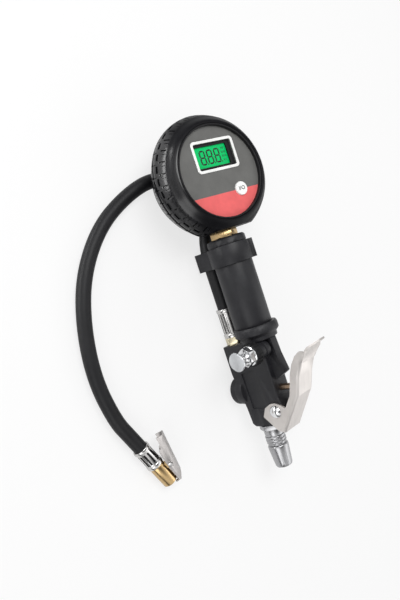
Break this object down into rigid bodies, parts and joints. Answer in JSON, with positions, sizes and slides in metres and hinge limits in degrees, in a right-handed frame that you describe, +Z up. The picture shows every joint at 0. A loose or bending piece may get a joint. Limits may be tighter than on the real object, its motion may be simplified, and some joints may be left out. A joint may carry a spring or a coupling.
{
  "type": "digital tire pressure gauge with inflator handle",
  "caption": "Handheld tire inflator: a round digital gauge in a tyre-tread rubber boot on a grip handle, with a trigger lever, bleed valve, inlet plug and rubber hose with a clip-on chuck.",
  "frame": {"origin": "middle of the tool's box at the level of the surface it lies on, measured without the free hose and what is on its end", "axes": "+Y along the handle towards the dial, +Z up out of the dial, +X to the dial's right"},
  "size_m": [0.1885, 0.3032, 0.1023],
  "materials": {
    "boot_rubber": "satin moulded rubber",
    "case_plastic": "moulded",
    "bezel_plastic": "satin",
    "dial_grey": "fine matt print",
    "dial_red": "fine matt print",
    "white_plastic": "gloss",
    "mask_black": "matt",
    "display_green": "backlit",
    "board_green": "solder mask",
    "steel": "satin",
    "lever_steel": "satin plated sheet",
    "chrome": "polished plating",
    "brass": "turned",
    "handle_black": "satin black",
    "cast_black": "satin black on a die casting",
    "clip_black": "moulded",
    "tube_alu": "drawn",
    "black_ring": "ribbed",
    "seal_rubber": "moulded",
    "hose_rubber": "extruded"
  },
  "bodies": {
    "tool": {"air_tube": "tube_alu", "battery_cell": "steel", "battery_holder": "mask_black", "bezel_ring": "bezel_plastic", "bleed_boss": "cast_black", "bleed_lock_ring": "black_ring", "bleed_nut": "chrome", "bleed_spring": "steel", "board_screws": "steel", "cap_seal": "seal_rubber", "chuck_body": "brass", "chuck_depressor": "brass", "chuck_lever_pin": "steel", "chuck_seal": "seal_rubber", "chuck_spring": "steel", "circuit_board": "board_green", "clip_screw": "steel", "dial_band": "dial_red", "dial_plate": "dial_grey", "display_backlight": "white_plastic", "display_frame": "white_plastic", "display_mask": "mask_black", "display_panel": "display_green", "far_ferrule": "steel", "gauge_boot": "boot_rubber", "gauge_case": "case_plastic", "gauge_stem": "brass", "grip_cap": "handle_black", "grip_tube": "handle_black", "hose": "hose_rubber", "hose_clip": "clip_black", "hose_ferrule": "steel", "hose_fitting": "brass", "inlet_plug": "steel", "inlet_screen": "steel", "pivot_pin": "chrome", "plug_collar": "steel", "pressure_sensor": "steel", "stem_nut": "brass", "tact_switch": "mask_black", "valve_body": "cast_black", "valve_cap": "cast_black", "valve_seat": "brass", "valve_spring": "steel"},
    "lever": {"trigger_lever": "lever_steel"},
    "valve_pin_body": {"valve_pin": "brass"},
    "mode_button_body": {"mode_button": "white_plastic"},
    "bleed_button_body": {"bleed_button": "chrome"},
    "chuck_clip_body": {"chuck_lever": "lever_steel"}
  },
  "joints": [
    {"name": "lever_hinge", "type": "hinge", "parent": "tool", "child": "lever", "pos_m": [0.00079, -0.0977, 0.04672], "axis": [-0.9744, 0.0126, 0.2246], "range_deg": [0, 9], "stiffness_Nm_per_rad": 2, "springref_deg": -14.32},
    {"name": "valve_pin_slide", "type": "slide", "parent": "tool", "child": "valve_pin_body", "axis": [-0.225, -0.0544, -0.9729], "range_m": [0, 0.0046], "deforming": ["valve_spring"]},
    {"name": "mode_button_press", "type": "slide", "parent": "tool", "child": "mode_button_body", "axis": [0, -0.0558, -0.9984], "range_m": [0, 0.0006], "stiffness_N_per_m": 2000, "springref_m": -0.0005},
    {"name": "bleed_button_press", "type": "slide", "parent": "tool", "child": "bleed_button_body", "axis": [0.9744, -0.0126, -0.2246], "range_m": [0, 0.0012], "stiffness_N_per_m": 2500, "springref_m": -0.001, "deforming": ["bleed_spring"]},
    {"name": "chuck_clip_hinge", "type": "hinge", "parent": "tool", "child": "chuck_clip_body", "pos_m": [-0.09648, -0.10795, 0.0125], "axis": [-0.4569, -0.2031, 0.866], "range_deg": [0, 10], "stiffness_Nm_per_rad": 0.3, "springref_deg": -17.19}
  ],
  "couplings": [
    {"joint": "valve_pin_slide", "follows": "lever_hinge", "m_per_rad": 0.0285}
  ]
}
